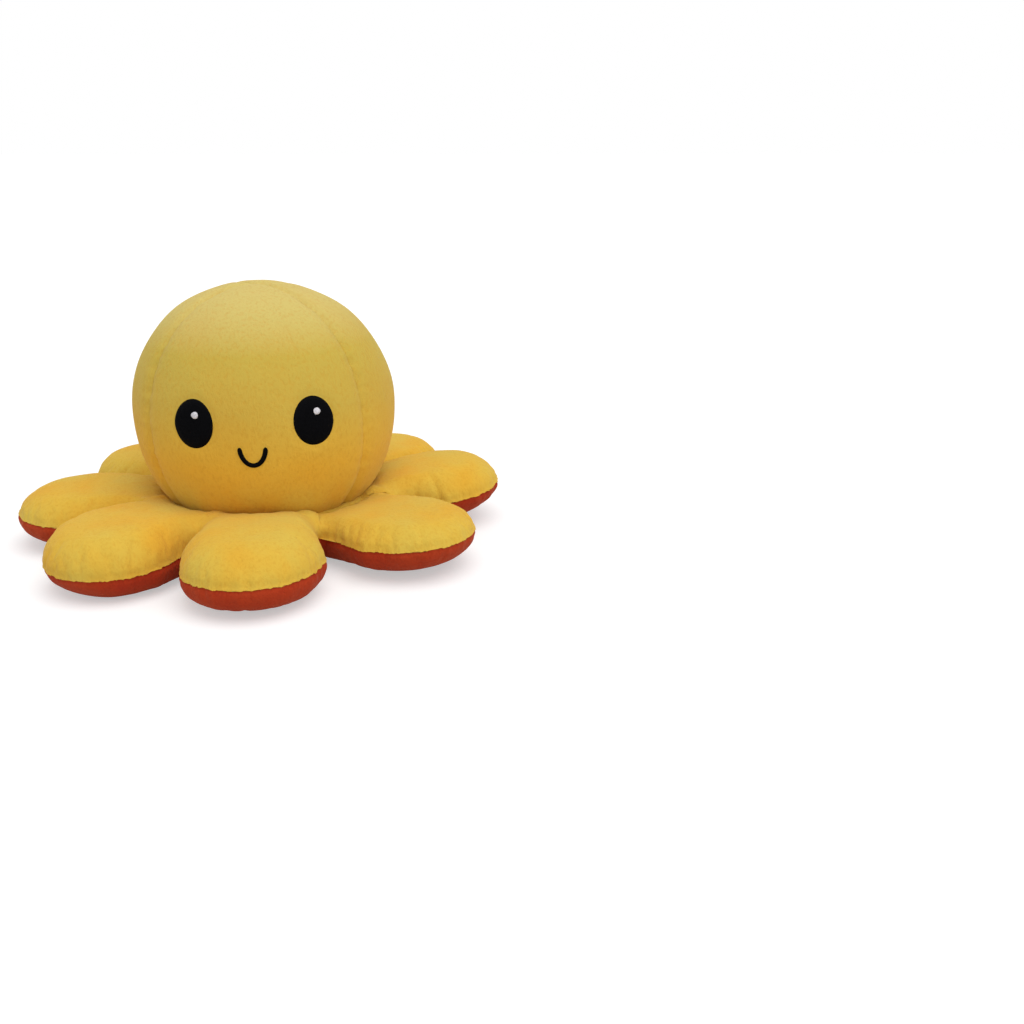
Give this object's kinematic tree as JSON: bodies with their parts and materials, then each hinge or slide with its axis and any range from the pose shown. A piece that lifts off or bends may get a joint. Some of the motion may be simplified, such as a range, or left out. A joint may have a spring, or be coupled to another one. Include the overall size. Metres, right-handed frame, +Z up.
{
  "type": "plush octopus",
  "caption": "Stuffed octopus that turns inside out: round head with a pocket below, stuffed tentacles that bend at their roots, embroidered faces.",
  "frame": {"origin": "on the floor, under the middle of the toy", "axes": "+Z up, the face looks along -Y, +X is to the right of someone who looks at the face"},
  "size_m": [0.1998, 0.1996, 0.1035],
  "materials": {
    "yellow_plush": "matte",
    "orange_plush": "matte",
    "fibre_filling": "matte",
    "black_thread": "satin",
    "white_thread": "satin"
  },
  "bodies": {
    "head": {"head_panel_front": "yellow_plush", "head_panel_right": "yellow_plush", "head_panel_back": "yellow_plush", "head_panel_left": "yellow_plush", "pocket_lining_front": "orange_plush", "pocket_lining_right": "orange_plush", "pocket_lining_back": "orange_plush", "pocket_lining_left": "orange_plush", "neck_ring": "yellow_plush", "mouth_rim": "orange_plush", "head_filling": "fibre_filling", "happy_eye_left": "black_thread", "happy_eye_right": "black_thread", "happy_eye_glint_left": "white_thread", "happy_eye_glint_right": "white_thread", "happy_smile": "black_thread", "angry_eye_left": "black_thread", "angry_eye_right": "black_thread", "angry_eye_glint_left": "white_thread", "angry_eye_glint_right": "white_thread", "angry_frown": "black_thread"},
    "tentacle_front": {"tentacle_front_top": "yellow_plush", "tentacle_front_base": "orange_plush", "tentacle_front_filling": "fibre_filling"},
    "tentacle_front_right": {"tentacle_front_right_top": "yellow_plush", "tentacle_front_right_base": "orange_plush", "tentacle_front_right_filling": "fibre_filling"},
    "tentacle_right": {"tentacle_right_top": "yellow_plush", "tentacle_right_base": "orange_plush", "tentacle_right_filling": "fibre_filling"},
    "tentacle_back_right": {"tentacle_back_right_top": "yellow_plush", "tentacle_back_right_base": "orange_plush", "tentacle_back_right_filling": "fibre_filling"},
    "tentacle_back": {"tentacle_back_top": "yellow_plush", "tentacle_back_base": "orange_plush", "tentacle_back_filling": "fibre_filling"},
    "tentacle_back_left": {"tentacle_back_left_top": "yellow_plush", "tentacle_back_left_base": "orange_plush", "tentacle_back_left_filling": "fibre_filling"},
    "tentacle_left": {"tentacle_left_top": "yellow_plush", "tentacle_left_base": "orange_plush", "tentacle_left_filling": "fibre_filling"},
    "tentacle_front_left": {"tentacle_front_left_top": "yellow_plush", "tentacle_front_left_base": "orange_plush", "tentacle_front_left_filling": "fibre_filling"}
  },
  "joints": [
    {"name": "tentacle_front_bend", "type": "hinge", "parent": "head", "child": "tentacle_front", "pos_m": [0, -0.045, 0.019], "axis": [-1, 0, 0], "range_deg": [-15, 50], "stiffness_Nm_per_rad": 0.05},
    {"name": "tentacle_front_right_bend", "type": "hinge", "parent": "head", "child": "tentacle_front_right", "pos_m": [0.03447, -0.02893, 0.019], "axis": [-0.6428, -0.766, 0], "range_deg": [-18, 47], "stiffness_Nm_per_rad": 0.05},
    {"name": "tentacle_right_bend", "type": "hinge", "parent": "head", "child": "tentacle_right", "pos_m": [0.04476, 0.0047, 0.019], "axis": [0.1045, -0.9945, 0], "range_deg": [-19, 46], "stiffness_Nm_per_rad": 0.05},
    {"name": "tentacle_back_right_bend", "type": "hinge", "parent": "head", "child": "tentacle_back_right", "pos_m": [0.02893, 0.03447, 0.019], "axis": [0.766, -0.6428, 0], "range_deg": [-16, 49], "stiffness_Nm_per_rad": 0.05},
    {"name": "tentacle_back_bend", "type": "hinge", "parent": "head", "child": "tentacle_back", "pos_m": [-0.00392, 0.04483, 0.019], "axis": [0.9962, 0.0872, 0], "range_deg": [-15, 50], "stiffness_Nm_per_rad": 0.05},
    {"name": "tentacle_back_left_bend", "type": "hinge", "parent": "head", "child": "tentacle_back_left", "pos_m": [-0.03396, 0.02952, 0.019], "axis": [0.6561, 0.7547, 0], "range_deg": [-15, 50], "stiffness_Nm_per_rad": 0.05},
    {"name": "tentacle_left_bend", "type": "hinge", "parent": "head", "child": "tentacle_left", "pos_m": [-0.04498, -0.00157, 0.019], "axis": [-0.0349, 0.9994, 0], "range_deg": [-15, 50], "stiffness_Nm_per_rad": 0.05},
    {"name": "tentacle_front_left_bend", "type": "hinge", "parent": "head", "child": "tentacle_front_left", "pos_m": [-0.03126, -0.03237, 0.019], "axis": [-0.7193, 0.6947, 0], "range_deg": [-15, 50], "stiffness_Nm_per_rad": 0.05}
  ]
}
